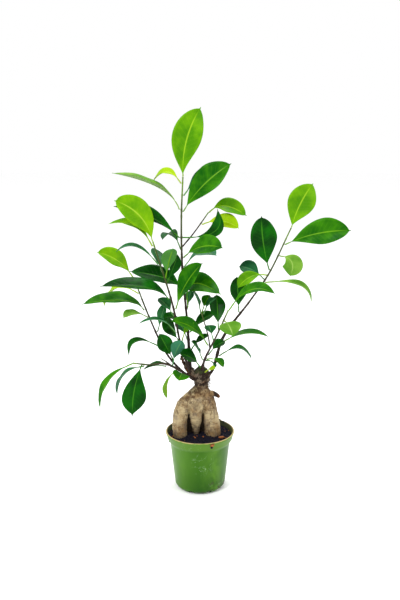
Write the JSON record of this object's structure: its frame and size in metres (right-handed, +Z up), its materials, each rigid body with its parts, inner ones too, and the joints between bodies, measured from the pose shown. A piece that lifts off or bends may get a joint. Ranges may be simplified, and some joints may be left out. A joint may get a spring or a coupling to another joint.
{
  "type": "potted bonsai fig tree",
  "caption": "Young indoor fig with swollen aerial roots, slender leafy stems and glossy oval leaves, growing in a small tapered plastic nursery pot.",
  "frame": {"origin": "middle of the pot's underside", "axes": "+Z up along the plant, +X to its right, +Y to its back"},
  "size_m": [0.3217, 0.1045, 0.4652],
  "materials": {
    "pot_plastic": "satin",
    "potting_soil": "matte",
    "root_bark": "matte",
    "stem_bark": "matte",
    "chip_bark": "matte",
    "leaf_dark": "gloss",
    "leaf_mid": "gloss",
    "leaf_fresh": "satin",
    "leaf_pale": "satin"
  },
  "bodies": {
    "root": {"pot": "pot_plastic", "soil": "potting_soil", "rootstock": "root_bark", "bark_chip": "chip_bark", "leader_stem": "stem_bark", "leader_stem_leaf_1": "leaf_mid", "leader_stem_leaf_2": "leaf_dark", "leader_stem_leaf_3": "leaf_pale", "leader_stem_leaf_4": "leaf_mid", "leader_stem_leaf_5": "leaf_dark", "leader_stem_leaf_6": "leaf_dark", "leader_stem_leaf_7": "leaf_mid", "leader_stem_leaf_8": "leaf_mid", "leader_stem_leaf_9": "leaf_pale", "leader_stem_leaf_10": "leaf_fresh", "leader_stem_leaf_11": "leaf_fresh", "left_stem": "stem_bark", "left_stem_leaf_1": "leaf_dark", "left_stem_leaf_2": "leaf_pale", "left_stem_leaf_3": "leaf_mid", "left_stem_leaf_4": "leaf_dark", "left_stem_leaf_5": "leaf_dark", "left_stem_leaf_6": "leaf_mid", "left_stem_leaf_7": "leaf_pale", "left_stem_leaf_8": "leaf_pale", "left_stem_leaf_9": "leaf_fresh", "left_stem_leaf_10": "leaf_fresh", "far_left_stem": "stem_bark", "far_left_stem_leaf_1": "leaf_dark", "far_left_stem_leaf_2": "leaf_dark", "far_left_stem_leaf_3": "leaf_pale", "far_left_stem_leaf_4": "leaf_mid", "far_left_stem_leaf_5": "leaf_fresh", "far_left_stem_leaf_6": "leaf_fresh", "low_left_stem": "stem_bark", "low_left_stem_leaf_1": "leaf_pale", "low_left_stem_leaf_2": "leaf_pale", "low_left_stem_leaf_3": "leaf_dark", "low_left_stem_leaf_4": "leaf_pale", "right_stem": "stem_bark", "right_stem_leaf_1": "leaf_dark", "right_stem_leaf_2": "leaf_mid", "right_stem_leaf_3": "leaf_dark", "right_stem_leaf_4": "leaf_dark", "right_stem_leaf_5": "leaf_fresh", "right_stem_leaf_6": "leaf_fresh", "right_stem_leaf_7": "leaf_dark", "right_stem_leaf_8": "leaf_pale", "right_stem_leaf_9": "leaf_mid", "right_stem_leaf_10": "leaf_fresh", "front_stem": "stem_bark", "front_stem_leaf_1": "leaf_dark", "front_stem_leaf_2": "leaf_dark", "front_stem_leaf_3": "leaf_fresh", "front_stem_leaf_4": "leaf_fresh", "upper_twig": "stem_bark", "upper_twig_leaf_1": "leaf_fresh", "upper_twig_leaf_2": "leaf_mid", "inner_twig": "stem_bark", "inner_twig_leaf_1": "leaf_mid"}
  },
  "joints": []
}
